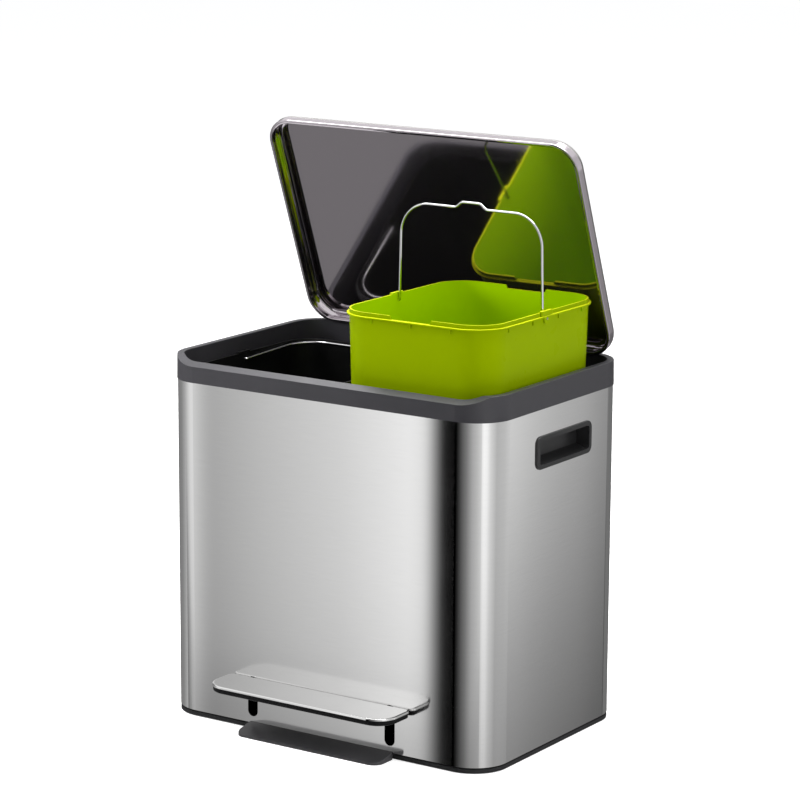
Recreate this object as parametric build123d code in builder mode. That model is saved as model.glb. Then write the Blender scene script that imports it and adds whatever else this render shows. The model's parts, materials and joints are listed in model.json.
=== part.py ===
from build123d import *
import math
import os

# All sizes in millimetres. X runs along the front, the front faces -Y, +Z is up,
# and the origin is on the floor under the middle of the body.

# Body
body_w = 460.0
body_d = 307.3
body_r = 45.0
steel_t = 0.9
steel_low = 8.0
steel_top = 412.4

# Rim collar
collar_h = 30.0
collar_top = steel_top + collar_h
collar_over = 0.9
collar_wall = 2.2
rim_w = 444.0
rim_d = 291.0
rim_r = 37.0
spigot_play = 0.2
spigot_h = 16.0
dip_front_z = 432.4
dip_slope = 0.55

# Base, deck and floor contact
base_low = 1.2
base_plate = 4.0
base_ring_top = 6.3
spigot_top = 36.0
deck_z = 74.0
deck_t = 3.0
post_r = 7.0
foot_half = 103.0
foot_reach = 32.0
pad_r = 10.0

# Side handles
handle_y = 9.0
handle_z = 361.5
handle_w = 122.0
handle_h = 39.0
handle_depth = 16.0
handle_proud = 2.1

# Buckets
bucket_x = 109.8
bucket_y = -15.0
bucket_w = 212.0
bucket_d = 257.0
bucket_r = 43.0
bucket_wall = 2.0
flange_w = 3.0
flange_t = 1.8
flange_z = 419.5
lip_h = 4.5
bucket_floor = 77.2
bucket_draft = 1.6
notch_half = 28.0
pivot_drop = 3.4
green_raise = 95.0
green_shift = 8.0

# Bails
wire_r = 1.5
bail_leg = 98.7
bail_top_half = 96.3
bail_h = 117.9
bail_corner = 38.0
hump_h = 6.6
hump_half = 12.6
hump_foot = 20.7
black_bail_fold = 87.52

# Lid and hinge
hinge_y = 144.5
hinge_z = 439.5
lid_open = 69.1
lid_w = 439.0
lid_d = 283.6
lid_r = 34.2
lid_h = 18.0
lid_t = 1.0
lid_round = 10.0
lid_back = 141.95
lid_low = 435.65
hem_w = 5.0
pin_r = 1.5
knuckle_r = 2.9

# Pedal drive
shaft_y = 45.0
shaft_z = 40.0
shaft_r = 4.0
arm_x = 98.5
arm_t = 4.0
arm_top = 62.6
slot_w = 14.3
slot_low = 16.0
slot_high = 65.5
pedal_half = 129.5
pedal_back = -154.9
pedal_front = -210.2
pedal_top = 65.4
pedal_corner = 26.0
pedal_back_corner = 7.0
tread_t = 2.6
tread_round = 2.2
tray_low = 56.5
tray_inset = 1.15
rod_y = 128.5
rod_r = 3.0
rod_low = 54.05
head_top = 434.8

front = -body_d / 2
hinge_line = Axis((0, hinge_y, hinge_z), (1, 0, 0))

# Brushed steel wrap with the two pedal slots and the two handle cut-outs
with BuildPart() as body_shell:
    with BuildSketch(Plane.XY.offset(steel_low)):
        RectangleRounded(body_w, body_d, body_r)
        RectangleRounded(body_w - 2 * steel_t, body_d - 2 * steel_t, body_r - steel_t, mode=Mode.SUBTRACT)
    extrude(amount=steel_top - steel_low)
    with BuildSketch(Plane.XZ.offset(body_d / 2 + 2)):
        with Locations((-arm_x, (slot_low + slot_high) / 2), (arm_x, (slot_low + slot_high) / 2)):
            SlotOverall(slot_high - slot_low, slot_w, rotation=90)
    extrude(amount=-6, mode=Mode.SUBTRACT)
    with BuildSketch(Plane.YZ.offset(-body_w / 2 - 2)):
        with Locations((handle_y, handle_z)):
            RectangleRounded(handle_w - 6, handle_h - 6, 6)
    extrude(amount=body_w + 4, mode=Mode.SUBTRACT)

# Space inside the collar, lowered along the front so that the top keeps its thickness
with BuildPart() as collar_hollow:
    with BuildSketch(Plane.XY.offset(steel_top - spigot_h - 1)):
        RectangleRounded(body_w - 2 * (steel_t + spigot_play + collar_wall),
                         body_d - 2 * (steel_t + spigot_play + collar_wall),
                         body_r - steel_t - spigot_play - collar_wall)
        RectangleRounded(rim_w + 2 * collar_wall, rim_d + 2 * collar_wall, rim_r + collar_wall,
                         mode=Mode.SUBTRACT)
    extrude(amount=collar_h + spigot_h - 2.4)
    with BuildSketch(Plane.YZ.offset(-body_w / 2 - 5)):
        with BuildLine():
            Polyline((front - 8, dip_front_z - 8 * dip_slope - 3.4),
                     (front + 22, dip_front_z + 22 * dip_slope - 3.4),
                     (front + 22, collar_top + 8), (front - 8, collar_top + 8), close=True)
        make_face()
    extrude(amount=body_w + 10, mode=Mode.SUBTRACT)

# Rim collar: spigot inside the steel, flush band outside, low sloping front for the fingers
with BuildPart() as rim_collar:
    with BuildSketch(Plane.XY.offset(steel_top + 0.1)):
        RectangleRounded(body_w + 2 * collar_over, body_d + 2 * collar_over, body_r + collar_over)
    extrude(amount=collar_h - 0.1, taper=0.8)
    with BuildSketch(Plane.XY.offset(steel_top - spigot_h)):
        RectangleRounded(body_w - 2 * (steel_t + spigot_play), body_d - 2 * (steel_t + spigot_play),
                         body_r - steel_t - spigot_play)
    extrude(amount=spigot_h + 1)
    with BuildSketch(Plane.XY.offset(steel_top - spigot_h - 1)):
        RectangleRounded(rim_w, rim_d, rim_r)
    extrude(amount=collar_h + spigot_h + 5, mode=Mode.SUBTRACT)
    fillet(rim_collar.edges().group_by(Axis.Z)[-1], radius=1.0)
    with BuildSketch(Plane.YZ.offset(-body_w / 2 - 5)):
        with BuildLine():
            Polyline((front - 8, dip_front_z - 8 * dip_slope),
                     (front + 18.18, dip_front_z + 18.18 * dip_slope),
                     (front + 18.18, collar_top + 8), (front - 8, collar_top + 8), close=True)
        make_face()
    extrude(amount=body_w + 10, mode=Mode.SUBTRACT)
    add(collar_hollow.part, mode=Mode.SUBTRACT)
    with BuildSketch(Plane.XY.offset(431.5)):
        with Locations((0, 146.3)):
            Rectangle(44, 4.6)
    extrude(amount=15, mode=Mode.SUBTRACT)

# Base pan: floor contact ring, groove under the steel, spigot, ribs and deck posts
post_spots = [(-205, -120), (0, -100), (205, -120), (-205, 110), (-60, 135), (60, 135), (205, 110)]
pad_spots = [(-190, -118), (190, -118), (-190, 118), (190, 118), (0, 0)]
foot_screw_spots = [(-40, front + 26), (0, front + 26), (40, front + 26)]
with BuildPart() as base_tray:
    with BuildSketch(Plane.XY.offset(base_low)):
        RectangleRounded(body_w - 0.6, body_d - 0.6, body_r - 0.3)
    extrude(amount=base_ring_top - base_low)
    with BuildSketch(Plane.XY.offset(base_ring_top)):
        RectangleRounded(body_w - 4.2, body_d - 4.2, body_r - 2.1)
    extrude(amount=steel_low + 0.1 - base_ring_top)
    with BuildSketch(Plane.XY.offset(steel_low + 0.1)):
        RectangleRounded(body_w - 2 * (steel_t + spigot_play), body_d - 2 * (steel_t + spigot_play),
                         body_r - steel_t - spigot_play)
    extrude(amount=spigot_top - steel_low)
    with BuildSketch(Plane.XY.offset(base_low + base_plate)):
        RectangleRounded(body_w - 9, body_d - 9, body_r - 4.5)
    extrude(amount=spigot_top, mode=Mode.SUBTRACT)
    with BuildSketch(Plane.XY.offset(base_low + base_plate)):
        with Locations((0, -90), (0, 0), (0, 90)):
            Rectangle(body_w - 8.5, 2.4)
        with Locations((-150, 0), (-50, 0), (50, 0), (150, 0)):
            Rectangle(2.4, body_d - 8.5)
    extrude(amount=7)
    with BuildSketch(Plane.XY.offset(base_low + base_plate)):
        with Locations(*post_spots):
            Circle(post_r)
    extrude(amount=deck_z - base_low - base_plate)
    with BuildSketch(Plane.XY.offset(deck_z - 20)):
        with Locations(*post_spots):
            Circle(1.62)
    extrude(amount=25, mode=Mode.SUBTRACT)
    with BuildSketch(Plane.XZ.offset(body_d / 2 + 2)):
        with Locations((-arm_x, 28), (arm_x, 28)):
            Rectangle(slot_w + 4, 28)
    extrude(amount=-8, mode=Mode.SUBTRACT)
    with BuildSketch(Plane.XY.offset(base_low)):
        with Locations((0, front + 20)):
            Rectangle(124, 46)
    extrude(amount=2.2, mode=Mode.SUBTRACT)
    with BuildSketch(Plane.XY.offset(base_low)):
        with Locations(*pad_spots):
            Circle(pad_r + 0.2)
    extrude(amount=1.9, mode=Mode.SUBTRACT)
    with BuildSketch(Plane.XY.offset(base_low)):
        with Locations(*foot_screw_spots):
            Circle(1.7)
    extrude(amount=base_plate + 1, mode=Mode.SUBTRACT)

# Rubber floor pads
with BuildPart() as floor_pads:
    with BuildSketch():
        with Locations(*pad_spots):
            Circle(pad_r)
    extrude(amount=3.0)
    chamfer(floor_pads.edges().group_by(Axis.Z)[0], length=0.6)

# Wedge foot that stops the bin from tipping when the pedal is pressed
with BuildPart() as anti_tip_foot:
    with BuildSketch() as foot_plan:
        with Locations((0, front - 0.5 - foot_reach / 2)):
            Rectangle(2 * foot_half, foot_reach)
        fillet(foot_plan.vertices().group_by(Axis.Y)[0], radius=14)
    extrude(amount=9.4)
    with BuildSketch(Plane.YZ.offset(-foot_half - 5)):
        with BuildLine():
            Polyline((front + 5, 9.4 + 5.5 * 0.21), (front - 0.5 - foot_reach - 5, 9.4 - 37 * 0.21),
                     (front - 40, 20), (front + 5, 20), close=True)
        make_face()
    extrude(amount=2 * foot_half + 10, mode=Mode.SUBTRACT)
    wedge_edges = anti_tip_foot.edges().filter_by(lambda e: e.center().Z > 2.0)
    fillet(wedge_edges.filter_by(lambda e: e.center().Y < front - 1), radius=0.8)
    with BuildSketch(Plane.XY.offset(base_low + 0.1)):
        with Locations((0, front + 19)):
            Rectangle(120, 43)
    extrude(amount=2.0)
    with BuildSketch():
        with Locations(*foot_screw_spots):
            Circle(1.7)
    extrude(amount=6, mode=Mode.SUBTRACT)

# Screws that hold the wedge foot under the base pan
with BuildPart() as foot_screws:
    with BuildSketch(Plane.XY.offset(base_low + 2.15)):
        with Locations(*foot_screw_spots):
            RegularPolygon(1.5, 8)
    extrude(amount=8)
    with BuildSketch(Plane.XY.offset(base_low + base_plate + 0.05)):
        with Locations(*foot_screw_spots):
            RegularPolygon(3.4, 6)
    extrude(amount=2.6)

# Inner deck that carries the two buckets over the pedal lever
with BuildPart() as bucket_deck:
    with BuildSketch(Plane.XY.offset(deck_z - 7)):
        RectangleRounded(body_w - 6, body_d - 6, body_r - 3)
    extrude(amount=7 + deck_t)
    with BuildSketch(Plane.XY.offset(deck_z - 7)):
        RectangleRounded(body_w - 11, body_d - 11, body_r - 5.5)
    extrude(amount=7, mode=Mode.SUBTRACT)
    with BuildSketch(Plane.XY.offset(deck_z - 4)):
        with Locations((-190, 0), (-110, 0), (-30, 0), (30, 0), (110, 0), (190, 0)):
            Rectangle(2.0, 230)
        with Locations((-124, -60), (124, -60), (-124, 60), (124, 60)):
            Rectangle(190, 2.0)
    extrude(amount=4)
    with BuildSketch(Plane.XY.offset(deck_z + deck_t)):
        with Locations((-bucket_x, bucket_y), (bucket_x, bucket_y)):
            RectangleRounded(191.6, 237, 33)
            RectangleRounded(187.6, 233, 31, mode=Mode.SUBTRACT)
    extrude(amount=5)
    with BuildSketch(Plane.XY.offset(deck_z - 8)):
        with Locations((0, 98)):
            Rectangle(24, 76)
    extrude(amount=20, mode=Mode.SUBTRACT)
    with BuildSketch(Plane.XY.offset(deck_z)):
        with Locations(*post_spots):
            Circle(1.8)
    extrude(amount=deck_t, mode=Mode.SUBTRACT)

# Pan-head screws through the deck into the posts
with BuildPart() as deck_screws:
    with BuildSketch(Plane.XY.offset(deck_z - 14)):
        with Locations(*post_spots):
            RegularPolygon(1.55, 8)
    extrude(amount=14 + deck_t)
    with BuildSketch(Plane.XY.offset(deck_z + deck_t)):
        with Locations(*post_spots):
            Circle(3.4)
    extrude(amount=2.2)
    chamfer(deck_screws.edges().group_by(Axis.Z)[-1], length=0.8)
    with BuildSketch(Plane.XY.offset(deck_z + deck_t + 1.2)):
        with Locations(*post_spots):
            Rectangle(3.6, 0.8)
            Rectangle(0.8, 3.6)
    extrude(amount=2, mode=Mode.SUBTRACT)

# Recessed grip let into each side of the steel wrap, its floor rising inwards
handle_low = handle_z - (handle_h - 11) / 2
with BuildPart() as handle_right:
    with BuildSketch(Plane.YZ.offset(body_w / 2 + 0.05)):
        with Locations((handle_y, handle_z)):
            RectangleRounded(handle_w, handle_h, 9)
    extrude(amount=handle_proud)
    fillet(handle_right.edges().group_by(Axis.X)[-1], radius=1.1)
    with BuildSketch(Plane.YZ.offset(body_w / 2 + 0.1)):
        with Locations((handle_y, handle_z)):
            RectangleRounded(handle_w - 6.4, handle_h - 6.4, 5.8)
    extrude(amount=-handle_depth - 1.6)
    with BuildSketch(Plane.YZ.offset(body_w / 2 + 5)):
        with Locations((handle_y, handle_z)):
            RectangleRounded(handle_w - 12, handle_h - 11, 4.5)
    extrude(amount=-5 - handle_depth, mode=Mode.SUBTRACT)
    with BuildSketch(Plane.XZ.offset(-handle_y)):
        with BuildLine():
            Polyline((body_w / 2 - handle_depth - 0.5, handle_low - 0.5), (body_w / 2 - 1, handle_low - 0.5),
                     (body_w / 2 - 1, handle_low), (body_w / 2 - handle_depth - 0.5, handle_low + 4.5), close=True)
        make_face()
    extrude(amount=handle_w / 2 - 6.5, both=True)

handle_left = mirror(handle_right.part, about=Plane.YZ)

# Open-backed cover that keeps the push rod clear of the buckets
with BuildPart() as rear_channel:
    with BuildSketch(Plane.XY.offset(deck_z + deck_t + 0.1)):
        with Locations((0, 129.6)):
            Rectangle(30, 31.2)
        with Locations((0, 131.5)):
            Rectangle(26.4, 31.2, mode=Mode.SUBTRACT)
    extrude(amount=318)
    with BuildSketch(Plane.XY.offset(deck_z + deck_t + 0.1)):
        with Locations((0, 122)):
            Rectangle(46, 12)
            Rectangle(30, 14, mode=Mode.SUBTRACT)
    extrude(amount=2.5)
    tall_edges = rear_channel.edges().filter_by(Axis.Z).filter_by(lambda e: e.length > 300)
    fillet(tall_edges.filter_by(lambda e: e.center().Y < 115), radius=1.5)

# Guide blocks clipped into the channel, bored for the push rod
with BuildPart() as rod_guides:
    for level in (100, 236, 372):
        with BuildSketch(Plane.XY.offset(level)):
            with Locations((0, 129.8)):
                RectangleRounded(26.2, 27.0, 2)
            with Locations((0, rod_y)):
                Circle(rod_r + 0.06, mode=Mode.SUBTRACT)
            with Locations((-9.5, 129.8), (9.5, 129.8)):
                RectangleRounded(3.4, 18, 1, mode=Mode.SUBTRACT)
        extrude(amount=10)

# Hinge bracket on the back of the collar: plate and two ears around the pin
ear_x = 17.5
screw_spots = [(-13, 410), (0, 410), (13, 410)]
with BuildPart() as hinge_base:
    with BuildSketch(Plane.XZ.offset(-rim_d / 2 + 0.1)):
        with Locations((0, 415)):
            RectangleRounded(42, 32, 3)
    extrude(amount=2.4)
    with BuildSketch(Plane.YZ.offset(-ear_x - 1.8)):
        with BuildLine():
            Polyline((rim_d / 2 - 0.1, 418), (rim_d / 2 - 0.1, 431.2), (rim_d / 2 - 1, 434),
                     (hinge_y + 2.2, hinge_z), (hinge_y - 2.2, hinge_z), (rim_d / 2 - 5.5, 431),
                     (rim_d / 2 - 2.5, 418), close=True)
        make_face()
        with Locations((hinge_y, hinge_z)):
            Circle(knuckle_r)
            Circle(pin_r + 0.01, mode=Mode.SUBTRACT)
    extrude(amount=3.6)
    with BuildSketch(Plane.YZ.offset(ear_x - 1.8)):
        with BuildLine():
            Polyline((rim_d / 2 - 0.1, 418), (rim_d / 2 - 0.1, 431.2), (rim_d / 2 - 1, 434),
                     (hinge_y + 2.2, hinge_z), (hinge_y - 2.2, hinge_z), (rim_d / 2 - 5.5, 431),
                     (rim_d / 2 - 2.5, 418), close=True)
        make_face()
        with Locations((hinge_y, hinge_z)):
            Circle(knuckle_r)
            Circle(pin_r + 0.01, mode=Mode.SUBTRACT)
    extrude(amount=3.6)
    with BuildSketch(Plane.XZ.offset(-rim_d / 2 - 1)):
        with Locations(*screw_spots):
            Circle(1.7)
    extrude(amount=8, mode=Mode.SUBTRACT)

# Screws of the hinge bracket, heads towards the front
with BuildPart() as hinge_screws:
    with BuildSketch(Plane.XZ.offset(-rim_d / 2 + 2.55)):
        with Locations(*screw_spots):
            Circle(3.0)
    extrude(amount=1.9)
    chamfer(hinge_screws.edges().group_by(Axis.Y)[0], length=0.7)
    with BuildSketch(Plane.XZ.offset(-rim_d / 2 + 2.6)):
        with Locations(*screw_spots):
            RegularPolygon(1.6, 8)
    extrude(amount=-2.5)

with BuildPart() as hinge_pin:
    with BuildSketch(Plane.YZ.offset(-ear_x - 2.6)):
        with Locations((hinge_y, hinge_z)):
            Circle(pin_r)
    extrude(amount=2 * ear_x + 5.2)
    chamfer(hinge_pin.edges(), length=0.3)

# Rubber stops on which the closed lid rests, two of them in the front corners of the collar
stop_reach = rim_r - 2.55
stop_x = rim_w / 2 - rim_r + stop_reach * math.sqrt(0.5)
stop_y = -rim_d / 2 + rim_r - stop_reach * math.sqrt(0.5)
with BuildPart() as lid_bumpers:
    with BuildSketch(Plane.XY.offset(426)):
        with Locations(Location((-stop_x, stop_y), 45), Location((stop_x, stop_y), -45)):
            Rectangle(4.2, 9)
        with Locations((-120, rim_d / 2 - 3.6), (120, rim_d / 2 - 3.6)):
            Rectangle(16, 7)
    extrude(amount=lid_low - 0.2 - 426)
    chamfer(lid_bumpers.edges().group_by(Axis.Z)[-1], length=0.8)

# Bearing blocks of the pedal shaft
with BuildPart() as bearing_blocks:
    for block_x in (-117, 109):
        with BuildSketch(Plane.YZ.offset(block_x)):
            with BuildLine():
                Polyline((shaft_y - 20, 5.3), (shaft_y + 20, 5.3), (shaft_y + 20, 10),
                         (shaft_y + 9, 36), (shaft_y + 9, 40), (shaft_y - 9, 40),
                         (shaft_y - 9, 36), (shaft_y - 20, 10), close=True)
            make_face()
            with Locations((shaft_y, shaft_z)):
                Circle(9)
                Circle(shaft_r + 0.06, mode=Mode.SUBTRACT)
        extrude(amount=8)

# Torsion springs on the pedal shaft, each one wire from the arm round the shaft and down to the base
spring_r = 6.2
spring_wire = 0.7
with BuildPart() as pedal_springs:
    with BuildLine() as spring_path:
        coil = Helix(pitch=2.0, height=4.5, radius=spring_r, center=(arm_x + 3.2, shaft_y, shaft_z),
                     direction=(1, 0, 0))
        Line(coil @ 0 - (coil % 0) * 3, coil @ 0)
        Line(coil @ 1, coil @ 1 + (coil % 1) * (shaft_z - 5.3))
    with BuildSketch(Plane(origin=spring_path.wires()[0] @ 0, z_dir=coil % 0)):
        RegularPolygon(spring_wire, 6)
    sweep(path=spring_path.wires()[0])
    mirror(about=Plane.YZ)

# Pressed steel tread of the pedal
with BuildPart() as pedal_plate:
    with BuildSketch(Plane.XY.offset(pedal_top - tread_t)) as tread_plan:
        with Locations((0, (pedal_back + pedal_front) / 2)):
            Rectangle(2 * pedal_half, pedal_back - pedal_front)
        fillet(tread_plan.vertices().group_by(Axis.Y)[0], radius=pedal_corner)
        fillet(tread_plan.vertices().group_by(Axis.Y)[-1], radius=pedal_back_corner)
    extrude(amount=tread_t)
    tread_edges = pedal_plate.edges().group_by(Axis.Z)[-1]
    fillet(tread_edges.filter_by(lambda e: e.center().Y < pedal_back - 1), radius=tread_round)
    with BuildSketch(Plane.XY.offset(pedal_top - tread_t)) as tread_under:
        with Locations((0, (pedal_back + pedal_front) / 2)):
            Rectangle(2 * pedal_half - 2, pedal_back - pedal_front - 2)
        fillet(tread_under.vertices().group_by(Axis.Y)[0], radius=pedal_corner - 1)
        fillet(tread_under.vertices().group_by(Axis.Y)[-1], radius=pedal_back_corner - 1)
    extrude(amount=tread_t - 1, mode=Mode.SUBTRACT)

# Black tray under the tread, ribbed, with a channel for each arm
with BuildPart() as pedal_tray:
    with BuildSketch(Plane.XY.offset(tray_low)) as tray_plan:
        with Locations((0, (pedal_back + pedal_front) / 2)):
            Rectangle(2 * (pedal_half - tray_inset), pedal_back - pedal_front - 2 * tray_inset)
        fillet(tray_plan.vertices().group_by(Axis.Y)[0], radius=pedal_corner - tray_inset)
        fillet(tray_plan.vertices().group_by(Axis.Y)[-1], radius=pedal_back_corner - tray_inset)
    extrude(amount=pedal_top - 1.05 - tray_low)
    tray_edges = pedal_tray.edges().group_by(Axis.Z)[0]
    fillet(tray_edges.filter_by(lambda e: e.center().Y < pedal_back - 2), radius=1.6)
    with BuildSketch(Plane.XY.offset(tray_low)) as tray_pockets:
        with Locations((0, (pedal_back + pedal_front) / 2)):
            Rectangle(2 * pedal_half - 8, pedal_back - pedal_front - 8)
        fillet(tray_pockets.vertices().group_by(Axis.Y)[0], radius=pedal_corner - 4)
        with Locations((-66, -185), (-33, -185), (0, -185), (33, -185), (66, -185)):
            Rectangle(1.8, 80, mode=Mode.SUBTRACT)
        with Locations((-arm_x, -185), (arm_x, -185)):
            Rectangle(9, 80, mode=Mode.SUBTRACT)
        with Locations((0, -185)):
            Rectangle(300, 1.8, mode=Mode.SUBTRACT)
    extrude(amount=arm_top - tray_low, mode=Mode.SUBTRACT)
    with BuildSketch(Plane.XY.offset(tray_low)):
        with Locations((-arm_x, -177), (arm_x, -177)):
            Rectangle(arm_t + 0.1, 50)
    extrude(amount=arm_top + 0.05 - tray_low, mode=Mode.SUBTRACT)

# Flat steel arms from the pedal back to the shaft
with BuildPart() as pedal_arm_right:
    with BuildSketch(Plane.YZ.offset(arm_x - arm_t / 2)):
        with BuildLine():
            Polyline((-200, 57.4), (-200, arm_top), (-152, arm_top), (-140, arm_top + 1), (shaft_y + 2, shaft_z + 8),
                     (shaft_y + 2, shaft_z - 8), (-140, 53.6), (-158, 57.4), close=True)
        make_face()
        with Locations((shaft_y, shaft_z)):
            Circle(8.5)
            Circle(shaft_r, mode=Mode.SUBTRACT)
    extrude(amount=arm_t)

pedal_arm_left = mirror(pedal_arm_right.part, about=Plane.YZ)

with BuildPart() as pedal_shaft:
    with BuildSketch(Plane.YZ.offset(-118.5)):
        with Locations((shaft_y, shaft_z)):
            Circle(shaft_r)
    extrude(amount=237)
    fillet(pedal_shaft.edges(), radius=0.6)

# Middle lever that lifts the push rod
with BuildPart() as rear_lever:
    with BuildSketch(Plane.YZ.offset(-2.5)):
        with BuildLine():
            Polyline((shaft_y, shaft_z + 8.5), (rod_y - 4, 54.0), (rod_y, 54.0), (rod_y + 3, 48),
                     (rod_y - 6, 44), (shaft_y, shaft_z - 8.5), close=True)
        make_face()
        with Locations((shaft_y, shaft_z)):
            Circle(9)
        with Locations((rod_y, 50)):
            Circle(4)
        with Locations((shaft_y, shaft_z)):
            Circle(shaft_r, mode=Mode.SUBTRACT)
        with Locations((88, 46.5)):
            SlotOverall(42, 5, rotation=4, mode=Mode.SUBTRACT)
    extrude(amount=5)
    with BuildSketch(Plane.YZ.offset(-6)):
        with Locations((rod_y, 50)):
            Circle(4)
    extrude(amount=12)
    with BuildSketch(Plane.YZ.offset(-9)):
        with Locations((shaft_y, shaft_z)):
            Circle(8)
            Circle(shaft_r, mode=Mode.SUBTRACT)
    extrude(amount=18)

# Push rod with its foot disc
with BuildPart() as push_rod:
    with BuildSketch(Plane.XY.offset(rod_low)):
        with Locations((0, rod_y)):
            Circle(7.5)
    extrude(amount=3)
    with BuildSketch(Plane.XY.offset(rod_low)):
        with Locations((0, rod_y)):
            Circle(rod_r)
    extrude(amount=431 - rod_low)
    disc_edges = push_rod.edges().filter_by_position(Axis.Z, rod_low + 2.9, rod_low + 3.1)
    fillet(disc_edges.sort_by(Edge.radius)[-1], radius=0.8)

# Head of the push rod, which pushes the crank of the lid
with BuildPart() as rod_head:
    with BuildSketch(Plane.YZ.offset(-4)):
        with Locations((rod_y, 429.4)):
            Rectangle(9, 10.8)
        with Locations((rod_y, head_top - 2)):
            RectangleRounded(16, 4, 1)
    extrude(amount=7.5)
    with BuildSketch(Plane.XY.offset(420)):
        with Locations((0, rod_y)):
            Circle(rod_r)
    extrude(amount=11, mode=Mode.SUBTRACT)

# Lid pan, drawn closed, then swung open about the hinge line
with BuildPart() as lid_pan:
    with BuildSketch(Plane.XY.offset(lid_low)):
        with Locations((0, lid_back - lid_d / 2)):
            RectangleRounded(lid_w, lid_d, lid_r)
    extrude(amount=lid_h)
    fillet(lid_pan.edges().group_by(Axis.Z)[-1], radius=lid_round)
    offset(amount=-lid_t, openings=lid_pan.faces().sort_by(Axis.Z)[0])
    with BuildSketch(Plane.XY.offset(lid_low)):
        with Locations((0, lid_back - lid_d / 2)):
            RectangleRounded(lid_w, lid_d, lid_r)
            RectangleRounded(lid_w - 2 * hem_w, lid_d - 2 * hem_w, lid_r - hem_w, mode=Mode.SUBTRACT)
    extrude(amount=1.2)
    with BuildSketch(Plane.XY.offset(lid_low)):
        with Locations((0, lid_back - lid_d / 2)):
            RectangleRounded(lid_w - 2 * hem_w + 2, lid_d - 2 * hem_w + 2, lid_r - hem_w + 1)
            RectangleRounded(lid_w - 2 * hem_w, lid_d - 2 * hem_w, lid_r - hem_w, mode=Mode.SUBTRACT)
    extrude(amount=4)
    fillet(lid_pan.edges().group_by(Axis.Z)[0], radius=0.5)
    with BuildSketch(Plane.XY.offset(lid_low - 1)):
        with Locations((0, lid_back - 3)):
            Rectangle(42, 8)
    extrude(amount=11, mode=Mode.SUBTRACT)

lid_shell = lid_pan.part.rotate(hinge_line, -lid_open)

# Hinge bracket welded inside the lid: plate, two lugs on the pin and the crank
plate_z = lid_low + lid_h - lid_t - 0.05
with BuildPart() as bracket_closed:
    with BuildSketch(Plane.XY.offset(plate_z - 1.5)):
        with Locations((0, 101)):
            RectangleRounded(36, 46, 4)
        with Locations((-2, 120)):
            Rectangle(13, 24, mode=Mode.SUBTRACT)
    extrude(amount=1.5)
    for lug_x in (-15, 11):
        with BuildSketch(Plane.YZ.offset(lug_x)):
            with BuildLine():
                Polyline((84, plate_z - 0.5), (120, plate_z - 0.5), (132, plate_z - 3.5),
                         (hinge_y + 1.6, hinge_z + 2.4), (hinge_y - 1, hinge_z - 2.7), (128, plate_z - 11),
                         (100, plate_z - 9), close=True)
            make_face()
            with Locations((hinge_y, hinge_z)):
                Circle(knuckle_r)
                Circle(pin_r + 0.05, mode=Mode.SUBTRACT)
        extrude(amount=4)
    with BuildSketch(Plane.YZ.offset(4.2)):
        with BuildLine():
            Polyline((90, plate_z - 0.5), (122, plate_z - 0.5), (rod_y + 3.2, hinge_z - 1),
                     (rod_y, hinge_z - 4.5), (rod_y - 3.4, hinge_z - 2), (104, plate_z - 6), close=True)
        make_face()
        with Locations((rod_y, hinge_z - 1)):
            Circle(3.5)
    extrude(amount=3)

lid_bracket = bracket_closed.part.rotate(hinge_line, -lid_open)

# Bucket moulding: tapered tub, flange, interrupted raised lip, bail bosses and gussets
wall_top = flange_z - flange_t
tub_w = bucket_w - 2 * flange_w
tub_d = bucket_d - 2 * flange_w
tub_r = bucket_r - flange_w
pivot_z = flange_z - pivot_drop
with BuildPart() as bucket:
    with BuildSketch(Plane.XY.offset(flange_z)):
        RectangleRounded(tub_w, tub_d, tub_r)
    extrude(amount=bucket_floor - flange_z, taper=bucket_draft)
    fillet(bucket.edges().group_by(Axis.Z)[0], radius=7)
    with BuildSketch(Plane.XY.offset(wall_top)):
        RectangleRounded(bucket_w, bucket_d, bucket_r)
    extrude(amount=flange_t)
    fillet(bucket.edges().filter_by(lambda e: e.center().Z > wall_top - 0.1).group_by(Axis.Z)[-1], radius=0.6)
    with BuildSketch(Plane.XY.offset(flange_z - 0.5)):
        RectangleRounded(tub_w, tub_d, tub_r)
    extrude(amount=lip_h + 0.5)
    with BuildSketch(Plane.XY.offset(wall_top)):
        with Locations((-tub_w / 2 - 0.4, 0), (tub_w / 2 + 0.4, 0)):
            RectangleRounded(4.2, 24, 1.5)
    extrude(amount=lip_h + flange_t + 1.6)
    with BuildSketch(Plane.YZ.offset(-tub_w / 2 - 2.4)):
        with Locations((0, pivot_z)):
            Circle(6.5)
    extrude(amount=tub_w + 4.8)
    with BuildSketch(Plane.XY.offset(wall_top - 5.5)):
        with Locations((-54, 0), (0, 0), (54, 0)):
            Rectangle(1.2, tub_d + 2.6)
        with Locations((0, -80), (0, -28), (0, 28), (0, 80)):
            Rectangle(tub_w + 2.6, 1.2)
    extrude(amount=5.5)
    with BuildSketch(Plane.XY.offset(flange_z + 10)):
        RectangleRounded(tub_w - 2 * bucket_wall, tub_d - 2 * bucket_wall, tub_r - bucket_wall)
    extrude(amount=-10, mode=Mode.SUBTRACT)
    with BuildSketch(Plane.XY.offset(flange_z)):
        RectangleRounded(tub_w - 2 * bucket_wall, tub_d - 2 * bucket_wall, tub_r - bucket_wall)
    extrude(amount=bucket_floor + 2.4 - flange_z, taper=bucket_draft, mode=Mode.SUBTRACT)
    with BuildSketch(Plane.XZ.offset(-tub_d)):
        with BuildLine():
            Polyline((-notch_half + 2, flange_z + 0.1), (notch_half - 2, flange_z + 0.1),
                     (notch_half + 2, flange_z + lip_h + 3), (-notch_half - 2, flange_z + lip_h + 3),
                     close=True)
        make_face()
    extrude(amount=2 * tub_d, mode=Mode.SUBTRACT)
    with BuildSketch(Plane.YZ.offset(-tub_w)):
        with Locations((0, pivot_z)):
            Circle(wire_r + 0.06)
    extrude(amount=2 * tub_w, mode=Mode.SUBTRACT)

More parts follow.
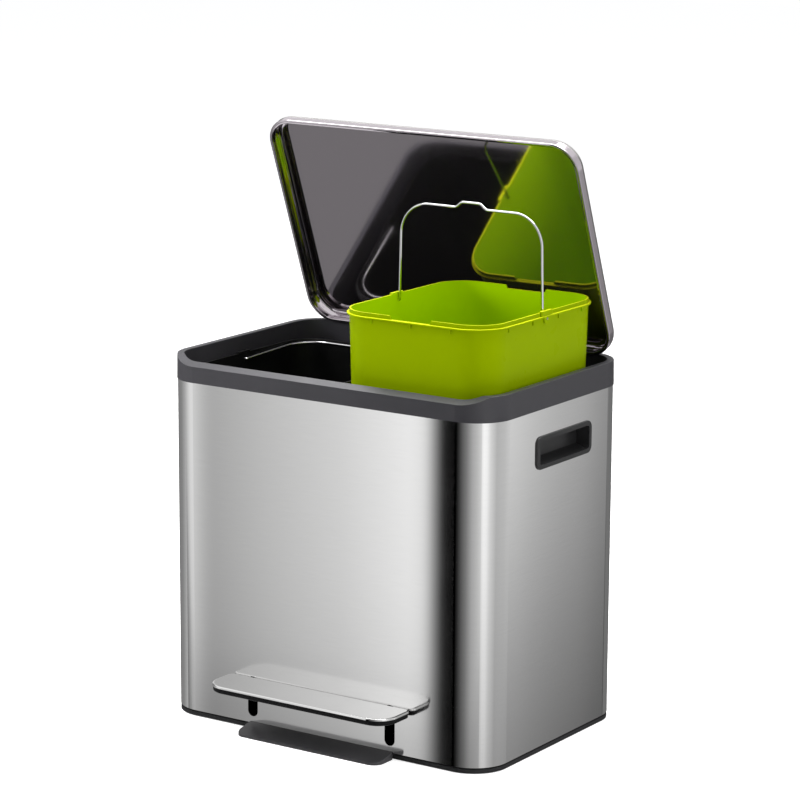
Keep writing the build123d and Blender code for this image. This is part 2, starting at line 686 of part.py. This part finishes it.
# Wire bail, drawn upright about its pivot line
with BuildPart() as bail:
    with BuildLine() as bail_path:
        Polyline((-tub_w / 2 - 2.6, 0, 0), (-bail_leg, 0, 0), (-bail_top_half, 0, bail_h),
                 (-hump_foot, 0, bail_h), (-hump_half, 0, bail_h + hump_h), (hump_half, 0, bail_h + hump_h),
                 (hump_foot, 0, bail_h), (bail_top_half, 0, bail_h), (bail_leg, 0, 0),
                 (tub_w / 2 + 2.6, 0, 0))
        turns = bail_path.vertices()
        fillet([v for v in turns if abs(abs(v.X) - bail_leg) < 0.01], radius=1.9)
        fillet([v for v in bail_path.vertices() if abs(abs(v.X) - bail_top_half) < 0.01], radius=bail_corner)
        fillet([v for v in bail_path.vertices() if abs(v.X) < hump_foot + 5], radius=8.0)
    with BuildSketch(Plane(origin=bail_path.line @ 0, z_dir=bail_path.line % 0)):
        Circle(wire_r)
    sweep()

bucket_black = bucket.part.moved(Location((-bucket_x, bucket_y, 0)))
bucket_green = bucket.part.moved(Location((bucket_x, bucket_y + green_shift, green_raise)))
bail_black = bail.part.rotate(Axis.X, -black_bail_fold).moved(Location((-bucket_x, bucket_y, pivot_z)))
bail_green = bail.part.moved(Location((bucket_x, bucket_y + green_shift, pivot_z + green_raise)))

pieces = {
    "body_shell": body_shell.part,
    "rim_collar": rim_collar.part,
    "base_tray": base_tray.part,
    "floor_pads": floor_pads.part,
    "anti_tip_foot": anti_tip_foot.part,
    "foot_screws": foot_screws.part,
    "bucket_deck": bucket_deck.part,
    "deck_screws": deck_screws.part,
    "handle_right": handle_right.part,
    "handle_left": handle_left,
    "rear_channel": rear_channel.part,
    "rod_guides": rod_guides.part,
    "hinge_base": hinge_base.part,
    "hinge_screws": hinge_screws.part,
    "hinge_pin": hinge_pin.part,
    "lid_bumpers": lid_bumpers.part,
    "bearing_blocks": bearing_blocks.part,
    "pedal_springs": pedal_springs.part,
    "pedal_plate": pedal_plate.part,
    "pedal_tray": pedal_tray.part,
    "pedal_arm_right": pedal_arm_right.part,
    "pedal_arm_left": pedal_arm_left,
    "pedal_shaft": pedal_shaft.part,
    "rear_lever": rear_lever.part,
    "push_rod": push_rod.part,
    "rod_head": rod_head.part,
    "lid_shell": lid_shell,
    "lid_bracket": lid_bracket,
    "bucket_black": bucket_black,
    "bucket_green": bucket_green,
    "bail_black": bail_black,
    "bail_green": bail_green,
}

os.makedirs("parts", exist_ok=True)
for name, piece in pieces.items():
    piece.label = name
    export_step(piece, "parts/" + name + ".step")
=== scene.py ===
"""Dual compartment pedal bin: finishes, studio and camera on the CAD frame."""
import json
import math

import bpy
from mathutils import Matrix, Vector


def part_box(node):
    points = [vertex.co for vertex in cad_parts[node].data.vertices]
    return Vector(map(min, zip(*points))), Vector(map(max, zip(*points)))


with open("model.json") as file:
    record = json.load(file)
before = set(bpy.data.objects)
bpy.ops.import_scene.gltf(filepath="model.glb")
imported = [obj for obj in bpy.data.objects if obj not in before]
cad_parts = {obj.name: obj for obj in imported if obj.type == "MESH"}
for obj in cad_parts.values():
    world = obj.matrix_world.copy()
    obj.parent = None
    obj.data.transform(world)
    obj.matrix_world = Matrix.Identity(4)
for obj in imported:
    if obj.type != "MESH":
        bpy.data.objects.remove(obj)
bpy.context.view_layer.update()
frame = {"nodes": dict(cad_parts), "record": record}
nodes = frame["nodes"]

# The camera that was fitted to the photograph: metres, degrees, and millimetres for its lens and sensor
CAMERA_PLACE = Vector((2.0808, -3.0922, 1.1868))
CAMERA_AZIMUTH = 33.84
CAMERA_ELEVATION = 12.10
CAMERA_ROLL = 0.30
CAMERA_LENS = 143.8
CAMERA_SENSOR = 36.0
CAMERA_FAR = 60.0

# The lid as photographed, and how far a face has to look outwards to be on its outside
LID_OPEN = math.radians(69.1)
LID_OUTWARD = Vector((0.0, math.sin(LID_OPEN), math.cos(LID_OPEN)))
OUTSIDE_FROM = 0.05

# The closed lid: half sizes, corner radius and middle, its hinge line, and the roll of its folded hem
LID_HALF_X = 0.2195
LID_HALF_Y = 0.1418
LID_CORNER = 0.0342
LID_MIDDLE_Y = 0.00015
HINGE = Vector((0.0, 0.1445, 0.4395))
HEM_WIDTH = 0.005
HEM_ROLL = 0.0012

# The green bucket: depth of its lip, and the turns by which its lip and its inner wall are known, to place
# the painted highlight on the lip and the painted light on the inner walls
LIP_DEPTH = 0.012
LIP_UPWARD = 0.5
WALL_UPWARD = 0.6
WALL_INWARD = 0.3

# The part of a noise's range in which a finish changes its tint or another value
TINT_SPAN = (0.32, 0.68)
SPREAD_SPAN = (0.3, 0.7)

# Painted reflection on polished wire: brightness painted into its colour from its middle to its turned-away
# edge
WIRE_PAINTED_REFLECTION_STOPS = [(0.001, 1.0), (0.30, 1.0), (0.52, 0.40), (0.74, 0.07), (0.999, 0.04)]

# Colours of the mouldings that share a kind of finish
COLLAR_GREY = (0.025, 0.024, 0.028)
GRIP_BLACK = (0.010, 0.010, 0.0105)
FOOT_GREY = (0.050, 0.049, 0.052)
TRAY_BLACK = (0.004, 0.004, 0.0045)
LIME = (0.185, 0.262, 0.0)
# Painted light: a brighter copy of the lime for the bucket's inner walls
LIME_PAINTED_LIGHT_INSIDE = (0.29, 0.49, 0.0)
# Painted highlight: a lighter copy of the lime for the upward faces of the bucket's lip
LIME_PAINTED_HIGHLIGHT_LIP = (0.50, 0.54, 0.008)


# Finishes
class Finish:
    """A Principled material with short helpers for its texture nodes."""

    def __init__(self, name, color, roughness, metallic=0.0, specular=0.5):
        self.material = bpy.data.materials.new(name)
        self.material.use_nodes = True
        self.material.diffuse_color = (*color, 1.0)
        self.tree = self.material.node_tree
        self.shader = self.tree.nodes["Principled BSDF"]
        self.shader.inputs["Base Color"].default_value = (*color, 1.0)
        self.shader.inputs["Metallic"].default_value = metallic
        self.shader.inputs["Roughness"].default_value = roughness
        self.shader.inputs["Specular IOR Level"].default_value = specular
        self.color = color
        self.roughness = roughness

    def node(self, kind, **settings):
        node = self.tree.nodes.new(kind)
        for key, value in settings.items():
            setattr(node, key, value)
        return node

    def link(self, source, target):
        self.tree.links.new(source, target)

    def noise(self, scale, detail, stretch=(1.0, 1.0, 1.0)):
        """Noise in the object's own metres, drawn out along an axis by a small stretch value."""
        place = self.node("ShaderNodeTexCoord")
        mapping = self.node("ShaderNodeMapping")
        mapping.inputs["Scale"].default_value = stretch
        texture = self.node("ShaderNodeTexNoise")
        texture.inputs["Scale"].default_value = scale
        texture.inputs["Detail"].default_value = detail
        self.link(place.outputs["Object"], mapping.inputs["Vector"])
        self.link(mapping.outputs["Vector"], texture.inputs["Vector"])
        return texture.outputs["Fac"]

    def spread(self, fac, low, high, span=SPREAD_SPAN):
        """Maps a value that runs over a span to a number between low and high."""
        ranged = self.node("ShaderNodeMapRange")
        ranged.inputs["From Min"].default_value = span[0]
        ranged.inputs["From Max"].default_value = span[1]
        ranged.inputs["To Min"].default_value = low
        ranged.inputs["To Max"].default_value = high
        self.link(fac, ranged.inputs["Value"])
        return ranged.outputs["Result"]

    def tint(self, fac, dark, light):
        """Varies the base colour between two shares of the written colour."""
        ramp = self.node("ShaderNodeValToRGB")
        for stop, position, share in zip(ramp.color_ramp.elements, TINT_SPAN, (dark, light)):
            stop.position = position
            stop.color = (*[c * share for c in self.color], 1.0)
        self.link(fac, ramp.inputs["Fac"])
        self.link(ramp.outputs["Color"], self.shader.inputs["Base Color"])

    def rough(self, fac, change):
        """Varies the roughness up and down by a change."""
        self.link(self.spread(fac, self.roughness - change, self.roughness + change),
                  self.shader.inputs["Roughness"])

    def bump(self, fac, depth, strength):
        """Relief of a depth in metres, whose node is returned so that another can be laid under it."""
        relief = self.node("ShaderNodeBump")
        relief.inputs["Strength"].default_value = strength
        relief.inputs["Distance"].default_value = depth
        self.link(fac, relief.inputs["Height"])
        self.link(relief.outputs["Normal"], self.shader.inputs["Normal"])
        return relief


def brushed_wrap():
    """Satin steel whose brushing runs level round the body, so reflections draw out upright."""
    finish = Finish("brushed_steel_wrap", (0.80, 0.798, 0.795), metallic=1.0, roughness=0.068)
    finish.shader.inputs["Anisotropic"].default_value = 1.0
    finish.shader.inputs["Anisotropic Rotation"].default_value = 0.25
    tangent = finish.node("ShaderNodeTangent", direction_type="RADIAL", axis="Z")
    finish.link(tangent.outputs["Tangent"], finish.shader.inputs["Tangent"])
    grain = finish.noise(scale=1600.0, detail=2.0, stretch=(0.02, 0.02, 1.0))
    wear = finish.noise(scale=9.0, detail=5.0)
    finish.tint(grain, dark=0.98, light=1.01)
    finish.rough(wear, change=0.005)
    finish.bump(grain, depth=0.00001, strength=0.04)
    return finish.material


def brushed_lid():
    """The lid's outside, brushed from left to right."""
    finish = Finish("lid_steel", (0.52, 0.50, 0.495), metallic=1.0, roughness=0.28)
    grain = finish.noise(scale=900.0, detail=4.0, stretch=(0.012, 1.0, 1.0))
    wear = finish.noise(scale=8.0, detail=5.0)
    finish.tint(grain, dark=0.94, light=1.03)
    finish.rough(wear, change=0.03)
    finish.bump(grain, depth=0.00002, strength=0.2)
    return finish.material


def lid_depth(finish):
    """Distance in metres from the lid's rounded outline, measured inwards in the plane of its hem."""
    def math_node(operation, first, second=None):
        step = finish.node("ShaderNodeMath", operation=operation)
        for socket, value in zip(step.inputs, (first, second)):
            if isinstance(value, float):
                socket.default_value = value
            elif value is not None:
                finish.link(value, socket)
        return step.outputs[0]

    place = finish.node("ShaderNodeTexCoord")
    closed = finish.node("ShaderNodeMapping")
    turn = Matrix.Rotation(LID_OPEN, 3, "X")
    closed.inputs["Rotation"].default_value = (LID_OPEN, 0.0, 0.0)
    closed.inputs["Location"].default_value = HINGE - turn @ HINGE
    split = finish.node("ShaderNodeSeparateXYZ")
    finish.link(place.outputs["Object"], closed.inputs["Vector"])
    finish.link(closed.outputs["Vector"], split.inputs["Vector"])
    along_y = math_node("SUBTRACT", split.outputs["Y"], LID_MIDDLE_Y)
    out_x = math_node("SUBTRACT", math_node("ABSOLUTE", split.outputs["X"]), LID_HALF_X - LID_CORNER)
    out_y = math_node("SUBTRACT", math_node("ABSOLUTE", along_y), LID_HALF_Y - LID_CORNER)
    past_x = math_node("POWER", math_node("MAXIMUM", out_x, 0.0), 2.0)
    past_y = math_node("POWER", math_node("MAXIMUM", out_y, 0.0), 2.0)
    round_part = math_node("SQRT", math_node("ADD", past_x, past_y))
    flat_part = math_node("MINIMUM", math_node("MAXIMUM", out_x, out_y), 0.0)
    return math_node("SUBTRACT", LID_CORNER, math_node("ADD", round_part, flat_part))


def bright_lid():
    """The lid's inside, left bright as rolled, with the folded hem rounded over like a roll."""
    finish = Finish("lid_steel_bright", (0.57, 0.525, 0.56), metallic=0.992, roughness=0.07)
    finish.rough(finish.noise(scale=14.0, detail=6.0), change=0.015)
    ripple = finish.bump(finish.noise(scale=5.0, detail=1.0), depth=0.0006, strength=0.12)
    turned = finish.spread(lid_depth(finish), low=0.0, high=math.pi, span=(0.0, HEM_WIDTH))
    roll = finish.node("ShaderNodeMath", operation="SINE")
    finish.link(turned, roll.inputs[0])
    hem = finish.bump(roll.outputs[0], depth=HEM_ROLL, strength=1.0)
    finish.link(ripple.outputs["Normal"], hem.inputs["Normal"])
    return finish.material


def zinc():
    finish = Finish("zinc_steel", (0.55, 0.56, 0.57), metallic=1.0, roughness=0.36)
    spangle = finish.noise(scale=260.0, detail=4.0)
    finish.tint(spangle, dark=0.88, light=1.06)
    finish.rough(spangle, change=0.06)
    return finish.material


def wire():
    """Bright drawn wire with a painted reflection: its colour is painted pale along its middle and dark
    where it turns away from the view.
    """
    finish = Finish("bright_wire", (0.87, 0.87, 0.88), metallic=1.0, roughness=0.08)
    # Painted reflection: the colour darkens as the surface turns away from the view
    facing = finish.node("ShaderNodeLayerWeight")
    facing.inputs["Blend"].default_value = 0.5
    ramp = finish.node("ShaderNodeValToRGB")
    stops = ramp.color_ramp.elements
    for position, value in WIRE_PAINTED_REFLECTION_STOPS:
        stop = stops.new(position)
        stop.color = (*[c * value for c in finish.color], 1.0)
    # The two stops of a new ramp now lie outside the others
    stops.remove(stops[-1])
    stops.remove(stops[0])
    finish.link(facing.outputs["Facing"], ramp.inputs["Fac"])
    finish.link(ramp.outputs["Color"], finish.shader.inputs["Base Color"])
    drawn = finish.noise(scale=400.0, detail=3.0)
    finish.rough(drawn, change=0.02)
    finish.bump(drawn, depth=0.00002, strength=0.05)
    return finish.material


def dark_plastic(name, color, specular=0.5):
    """Fine matte moulding of the rim collar, the side grips, the foot and the pedal's tray."""
    finish = Finish(name, color, roughness=0.40, specular=specular)
    skin = finish.noise(scale=1400.0, detail=2.0)
    scuff = finish.noise(scale=30.0, detail=6.0)
    finish.tint(scuff, dark=0.92, light=1.08)
    finish.rough(scuff, change=0.04)
    finish.bump(skin, depth=0.00004, strength=0.35)
    return finish.material


def black_plastic():
    finish = Finish("black_plastic", (0.011, 0.011, 0.012), roughness=0.5, specular=0.35)
    skin = finish.noise(scale=1200.0, detail=2.0)
    scuff = finish.noise(scale=24.0, detail=6.0)
    finish.tint(scuff, dark=0.85, light=1.15)
    finish.rough(scuff, change=0.06)
    finish.bump(skin, depth=0.00004, strength=0.35)
    return finish.material


def black_bucket():
    finish = Finish("bucket_black_plastic", (0.004, 0.004, 0.004), roughness=0.33, specular=0.35)
    scuff = finish.noise(scale=36.0, detail=6.0)
    finish.tint(scuff, dark=0.85, light=1.15)
    finish.rough(scuff, change=0.05)
    finish.bump(finish.noise(scale=7.0, detail=1.0), depth=0.0006, strength=0.08)
    return finish.material


def green_bucket(name, color):
    """Smooth lime moulding, a little translucent."""
    finish = Finish(name, color, roughness=0.30, specular=0.02)
    finish.shader.inputs["Specular Tint"].default_value = (0.9, 1.0, 0.05, 1.0)
    finish.shader.inputs["Subsurface Weight"].default_value = 0.12
    finish.shader.inputs["Subsurface Radius"].default_value = (0.004, 0.005, 0.001)
    finish.shader.inputs["Subsurface Scale"].default_value = 1.0
    cloud = finish.noise(scale=6.0, detail=3.0)
    scuff = finish.noise(scale=40.0, detail=6.0)
    finish.tint(cloud, dark=0.97, light=1.02)
    finish.rough(scuff, change=0.04)
    finish.bump(finish.noise(scale=9.0, detail=1.0), depth=0.0005, strength=0.08)
    return finish.material


def rubber():
    finish = Finish("pad_rubber", (0.02, 0.02, 0.021), roughness=0.75, specular=0.3)
    skin = finish.noise(scale=500.0, detail=4.0)
    finish.tint(skin, dark=0.85, light=1.15)
    finish.bump(skin, depth=0.00005, strength=0.4)
    return finish.material


FINISHES = {
    "brushed_steel_wrap": brushed_wrap(),
    "lid_steel": brushed_lid(),
    "zinc_steel": zinc(),
    "bright_wire": wire(),
    "dark_plastic": dark_plastic("dark_plastic", COLLAR_GREY),
    "black_plastic": black_plastic(),
    "bucket_black_plastic": black_bucket(),
    "bucket_green_plastic": green_bucket("bucket_green_plastic", LIME),
    "pad_rubber": rubber(),
}
OWN_FINISHES = {
    "handle_left": dark_plastic("grip_plastic_left", GRIP_BLACK),
    "handle_right": dark_plastic("grip_plastic_right", GRIP_BLACK),
    "anti_tip_foot": dark_plastic("foot_plastic", FOOT_GREY),
    "pedal_tray": dark_plastic("pedal_tray_plastic", TRAY_BLACK, specular=0.15),
}
LID_BRIGHT = bright_lid()
# Lighter copies of the lime: painted light for the inner walls, painted highlight for the lip
GREEN_PAINTED_LIGHT_INSIDE = green_bucket("bucket_green_painted_light_inside", LIME_PAINTED_LIGHT_INSIDE)
GREEN_PAINTED_HIGHLIGHT_LIP = green_bucket("bucket_green_painted_highlight_lip", LIME_PAINTED_HIGHLIGHT_LIP)


def dress_nodes():
    """Gives every CAD node its own finish, or else that of its slot in the record."""
    for row in frame["record"]["subparts"]:
        mesh = nodes[row["node"]].data
        mesh.materials.clear()
        mesh.materials.append(OWN_FINISHES.get(row["node"], FINISHES[row["material_slot"]]))


def split_lid():
    """Faces of the lid that look down or in when it is closed are the bright side."""
    mesh = nodes["lid_shell"].data
    mesh.materials.append(LID_BRIGHT)
    for face in mesh.polygons:
        face.material_index = 0 if face.normal.dot(LID_OUTWARD) > OUTSIDE_FROM else 1


def split_green_painted_light():
    """Painted light and a painted highlight: brighter copies of the lime on the bucket's inner walls and on
    the upward faces of its thin rim.
    """
    mesh = nodes["bucket_green"].data
    mesh.materials.append(GREEN_PAINTED_LIGHT_INSIDE)
    mesh.materials.append(GREEN_PAINTED_HIGHLIGHT_LIP)
    low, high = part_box("bucket_green")
    middle = (Vector(low) + Vector(high)) / 2
    for face in mesh.polygons:
        inward = middle - face.center
        inward.z = 0.0
        steep = abs(face.normal.z) < WALL_UPWARD
        near_rim = face.center.z > high[2] - LIP_DEPTH
        # Upward faces of the lip get the painted highlight
        if near_rim and face.normal.z > LIP_UPWARD:
            face.material_index = 2
        # Inner walls get the painted light
        elif steep and face.normal.dot(inward.normalized()) > WALL_INWARD:
            face.material_index = 1


# Studio
def plane(name, corners, material):
    """A flat studio board, which is no part of the object."""
    mesh = bpy.data.meshes.new(name)
    mesh.from_pydata([Vector(c) for c in corners], [], [range(len(corners))])
    board = bpy.data.objects.new(name, mesh)
    bpy.context.scene.collection.objects.link(board)
    board.data.materials.append(material)
    return board


def bare_tree(owner):
    """The node tree of a new material or world, emptied for nodes of its own."""
    owner.use_nodes = True
    owner.node_tree.nodes.clear()
    return owner.node_tree


def level(srgb):
    """A display value from 0 to 255 as linear light, by the sRGB curve."""
    share = srgb / 255.0
    return share / 12.92 if share <= 0.04045 else ((share + 0.055) / 1.055) ** 2.4


def ramp_of(tree, source, stops):
    """A colour ramp over a coordinate, with stops of (place in metres, linear grey)."""
    first, last = stops[0][0], stops[-1][0]
    ranged = tree.nodes.new("ShaderNodeMapRange")
    ranged.inputs["From Min"].default_value = first
    ranged.inputs["From Max"].default_value = last
    ramp = tree.nodes.new("ShaderNodeValToRGB")
    while len(ramp.color_ramp.elements) < len(stops):
        ramp.color_ramp.elements.new(0.5)
    for element, (where, value) in zip(ramp.color_ramp.elements, stops):
        element.position = (where - first) / (last - first)
        element.color = (value, value, value, 1.0)
    tree.links.new(source, ranged.inputs["Value"])
    tree.links.new(ranged.outputs["Result"], ramp.inputs["Fac"])
    return ramp.outputs["Color"]


def glow(name, axis, stops, rise):
    """Emission with display values along one level axis, and a strength that changes with height."""
    material = bpy.data.materials.new(name)
    tree = bare_tree(material)
    place = tree.nodes.new("ShaderNodeTexCoord")
    split = tree.nodes.new("ShaderNodeSeparateXYZ")
    light = tree.nodes.new("ShaderNodeEmission")
    output = tree.nodes.new("ShaderNodeOutputMaterial")
    strength = tree.nodes.new("ShaderNodeMath")
    strength.operation = "MULTIPLY"
    strength.inputs[1].default_value = RISE_UNIT
    tree.links.new(place.outputs["Object"], split.inputs["Vector"])
    along = ramp_of(tree, split.outputs[axis], [(where, level(value)) for where, value in stops])
    height = ramp_of(tree, split.outputs["Z"], [(where, share / RISE_UNIT) for where, share in rise])
    tree.links.new(along, light.inputs["Color"])
    tree.links.new(height, strength.inputs[0])
    tree.links.new(strength.outputs[0], light.inputs["Strength"])
    tree.links.new(light.outputs["Emission"], output.inputs["Surface"])
    return material


def reflector(name, corners, material):
    """A board that only reflections see."""
    board = plane(name, corners, material)
    board.visible_camera = False
    board.visible_diffuse = False
    board.visible_transmission = False
    board.visible_shadow = False


def upright(x0, y0, x1, y1, low, high):
    """Corners of an upright board between two points of the plan."""
    return [(x0, y0, low), (x1, y1, low), (x1, y1, high), (x0, y0, high)]


def flat(x0, y0, x1, y1, height):
    """Corners of a level board between two corners in plan."""
    return [(x0, y0, height), (x1, y0, height), (x1, y1, height), (x0, y1, height)]


# Places of the reflector boards round the bin
BOARD_LOW = -1.3
BOARD_HIGH = 1.5
FRONT_BOARD_Y = -1.0
SIDE_BOARD_X = 1.2
LEFT_BOARD_X = -2.4
BACK_BOARD_Y = 2.6

# Display values of the boards, from 0 to 255, at places along each of them
FRONT_STOPS = [(-2.40, 192), (-2.01, 201), (-1.68, 211), (-1.43, 221), (-1.25, 229), (-1.10, 235),
               (-0.98, 232), (-0.877, 229), (-0.840, 225), (-0.833, 215), (-0.825, 201), (-0.817, 192),
               (-0.810, 185), (-0.80, 181), (-0.70, 203), (-0.56, 226), (-0.44, 252), (-0.418, 246),
               (-0.409, 226), (-0.401, 185), (-0.393, 132), (-0.386, 82), (-0.382, 22), (-0.380, 0),
               (-0.20, 0), (0.00, 79), (0.27, 128), (0.56, 179), (0.92, 207), (1.20, 228)]
SIDE_STOPS = [(-1.00, 224), (-0.80, 238), (-0.60, 232), (-0.39, 204), (-0.04, 172), (0.55, 180), (1.46, 202),
              (1.53, 186), (1.61, 173), (1.70, 162), (1.79, 138), (2.60, 125)]
LEFT_STOPS = [(-1.00, 190), (-0.73, 176), (-0.50, 167), (-0.25, 154), (0.02, 143), (0.78, 132), (2.60, 132)]
BACK_STOPS = [(-2.40, 150), (-0.60, 112), (1.20, 124)]

# Where the front board is split in three, because one ramp is too coarse for its sharp dark edge
FRONT_JOINS = (-2.40, -0.877, -0.380, 1.20)

# Shares of the boards' strength at heights, and the strength at which a ramp reads 1
FRONT_RISE = [(-1.30, 0.30), (-0.60, 0.36), (-0.32, 0.62), (-0.20, 0.90), (-0.06, 1.0), (0.10, 1.04),
              (0.22, 1.06), (0.32, 1.18), (1.50, 1.18)]
SIDE_RISE = [(-1.30, 0.40), (-0.65, 0.45), (-0.42, 0.735), (-0.24, 1.0), (-0.06, 1.24), (0.10, 1.35),
             (1.50, 1.35)]
EVEN_RISE = [(-1.30, 1.0), (1.50, 1.0)]
RISE_UNIT = 1.5

# A grey card low on the left, under the floor, which the open lid mirrors: corners, height, display value
LOW_CARD = ((-1.28, -0.92), (-0.68, -0.28), -0.40)
LOW_CARD_VALUE = 140

# A bright card over the bin: middle, half sizes and strength
OVERHEAD_PLACE = (-0.07, 0.16, 1.38)
OVERHEAD_HALF = (0.66, 0.25)
OVERHEAD_STRENGTH = 9.0

# The floor: half its side, its grey, and the light it adds for the camera
FLOOR_HALF = 9.0
FLOOR_GREY = 0.80
FLOOR_LIGHT = 0.72

# The world as a light on the object
FILL_COLOR = (0.97, 0.98, 1.0)
FILL_STRENGTH = 0.34

# Lamps: name, place, what it faces, the two sizes and the watts
BODY_MIDDLE = (0.0, 0.0, 0.3)
RIM_LEFT = (-0.15, -0.15, 0.42)
LAMPS = [
    ("key", (-1.3, -2.2, 2.3), BODY_MIDDLE, (1.6, 1.6), 0.6),
    ("left_near", (-0.75, -0.58, 0.78), RIM_LEFT, (0.4, 0.4), 9.5),
    ("right_fill", (2.6, -0.6, 1.3), BODY_MIDDLE, (1.8, 1.6), 48.0),
    ("top", (0.0, -0.1, 2.8), BODY_MIDDLE, (2.0, 2.0), 120.0),
]


def build_boards():
    """Boards in front, on both sides and behind, whose stops give the steel its reflections."""
    low, high = BOARD_LOW, BOARD_HIGH
    for start, stop in zip(FRONT_JOINS, FRONT_JOINS[1:]):
        stops = [row for row in FRONT_STOPS if start <= row[0] <= stop]
        reflector("front_board", upright(start, FRONT_BOARD_Y, stop, FRONT_BOARD_Y, low, high),
                  glow("front_glow", "X", stops, FRONT_RISE))
    reflector("side_board", upright(SIDE_BOARD_X, FRONT_BOARD_Y, SIDE_BOARD_X, BACK_BOARD_Y, low, high),
              glow("side_glow", "Y", SIDE_STOPS, SIDE_RISE))
    reflector("left_board", upright(LEFT_BOARD_X, BACK_BOARD_Y, LEFT_BOARD_X, FRONT_BOARD_Y, low, high),
              glow("left_glow", "Y", LEFT_STOPS, EVEN_RISE))
    reflector("back_board", upright(SIDE_BOARD_X, BACK_BOARD_Y, LEFT_BOARD_X, BACK_BOARD_Y, low, high),
              glow("back_glow", "X", BACK_STOPS, EVEN_RISE))
    (x0, y0), (x1, y1), height = LOW_CARD
    reflector("low_card", flat(x0, y0, x1, y1, height),
              glow("low_card_glow", "X", [(x0, LOW_CARD_VALUE), (x1, LOW_CARD_VALUE)], EVEN_RISE))


def build_overhead():
    """A bright card overhead, which only draws highlights on rounded edges and on the sloping rim."""
    material = bpy.data.materials.new("overhead_glow")
    tree = bare_tree(material)
    light = tree.nodes.new("ShaderNodeEmission")
    light.inputs["Strength"].default_value = OVERHEAD_STRENGTH
    output = tree.nodes.new("ShaderNodeOutputMaterial")
    tree.links.new(light.outputs["Emission"], output.inputs["Surface"])
    x, y, height = OVERHEAD_PLACE
    half_x, half_y = OVERHEAD_HALF
    reflector("overhead_card", flat(x - half_x, y - half_y, x + half_x, y + half_y, height), material)


def build_floor():
    """White floor: the camera sees it close to white, darker only in the object's soft shadow."""
    material = bpy.data.materials.new("floor")
    tree = bare_tree(material)
    path = tree.nodes.new("ShaderNodeLightPath")
    diffuse = tree.nodes.new("ShaderNodeBsdfDiffuse")
    diffuse.inputs["Color"].default_value = (FLOOR_GREY, FLOOR_GREY, FLOOR_GREY, 1.0)
    light = tree.nodes.new("ShaderNodeEmission")
    light.inputs["Strength"].default_value = FLOOR_LIGHT
    both = tree.nodes.new("ShaderNodeAddShader")
    chosen = tree.nodes.new("ShaderNodeMixShader")
    output = tree.nodes.new("ShaderNodeOutputMaterial")
    tree.links.new(diffuse.outputs["BSDF"], both.inputs[0])
    tree.links.new(light.outputs["Emission"], both.inputs[1])
    tree.links.new(path.outputs["Is Camera Ray"], chosen.inputs["Fac"])
    tree.links.new(diffuse.outputs["BSDF"], chosen.inputs[1])
    tree.links.new(both.outputs["Shader"], chosen.inputs[2])
    tree.links.new(chosen.outputs["Shader"], output.inputs["Surface"])
    floor = plane("floor", flat(-FLOOR_HALF, -FLOOR_HALF, FLOOR_HALF, FLOOR_HALF, 0.0), material)
    floor.visible_glossy = False


def build_world():
    """White to the camera and in reflections; softer as a light on the object."""
    world = bpy.data.worlds.new("studio")
    bpy.context.scene.world = world
    tree = bare_tree(world)
    path = tree.nodes.new("ShaderNodeLightPath")
    camera_or_glossy = tree.nodes.new("ShaderNodeMath")
    camera_or_glossy.operation = "MAXIMUM"
    sees_white = tree.nodes.new("ShaderNodeMath")
    sees_white.operation = "MAXIMUM"
    backdrop = tree.nodes.new("ShaderNodeBackground")
    backdrop.inputs["Color"].default_value = (1.0, 1.0, 1.0, 1.0)
    backdrop.inputs["Strength"].default_value = 1.0
    fill = tree.nodes.new("ShaderNodeBackground")
    fill.inputs["Color"].default_value = (*FILL_COLOR, 1.0)
    fill.inputs["Strength"].default_value = FILL_STRENGTH
    chosen = tree.nodes.new("ShaderNodeMixShader")
    output = tree.nodes.new("ShaderNodeOutputWorld")
    tree.links.new(path.outputs["Is Camera Ray"], camera_or_glossy.inputs[0])
    tree.links.new(path.outputs["Is Glossy Ray"], camera_or_glossy.inputs[1])
    tree.links.new(camera_or_glossy.outputs[0], sees_white.inputs[0])
    tree.links.new(path.outputs["Is Transmission Ray"], sees_white.inputs[1])
    tree.links.new(sees_white.outputs[0], chosen.inputs["Fac"])
    tree.links.new(fill.outputs["Background"], chosen.inputs[1])
    tree.links.new(backdrop.outputs["Background"], chosen.inputs[2])
    tree.links.new(chosen.outputs["Shader"], output.inputs["Surface"])


def softbox(name, place, target, size, power):
    """A white lamp that the camera and the reflections don't see."""
    light = bpy.data.lights.new(name, "AREA")
    light.shape = "RECTANGLE"
    light.size, light.size_y = size
    light.energy = power
    lamp = bpy.data.objects.new(name, light)
    bpy.context.scene.collection.objects.link(lamp)
    lamp.location = place
    lamp.rotation_euler = (Vector(target) - Vector(place)).to_track_quat("-Z", "Y").to_euler()
    lamp.visible_glossy = False
    lamp.visible_camera = False


def build_lights():
    for name, place, target, size, power in LAMPS:
        softbox(name, place, target, size, power)


def build_camera():
    """The fitted camera, whose roll turns its right and its up about the line of sight."""
    azimuth = math.radians(CAMERA_AZIMUTH)
    elevation = math.radians(CAMERA_ELEVATION)
    back = Vector((math.sin(azimuth) * math.cos(elevation), -math.cos(azimuth) * math.cos(elevation),
                   math.sin(elevation)))
    right = (-back).cross(Vector((0.0, 0.0, 1.0))).normalized()
    up = back.cross(right)
    roll = math.radians(CAMERA_ROLL)
    right, up = (right * math.cos(roll) + up * math.sin(roll), up * math.cos(roll) - right * math.sin(roll))
    data = bpy.data.cameras.new("camera")
    data.lens = CAMERA_LENS
    data.sensor_width = CAMERA_SENSOR
    data.clip_end = CAMERA_FAR
    camera = bpy.data.objects.new("camera", data)
    bpy.context.scene.collection.objects.link(camera)
    turn = Matrix((right, up, back)).transposed().to_4x4()
    camera.matrix_world = Matrix.Translation(CAMERA_PLACE) @ turn
    bpy.context.scene.camera = camera


dress_nodes()
split_lid()
split_green_painted_light()
build_boards()
build_overhead()
build_floor()
build_world()
build_lights()
build_camera()
bpy.context.scene.view_settings.view_transform = "Standard"
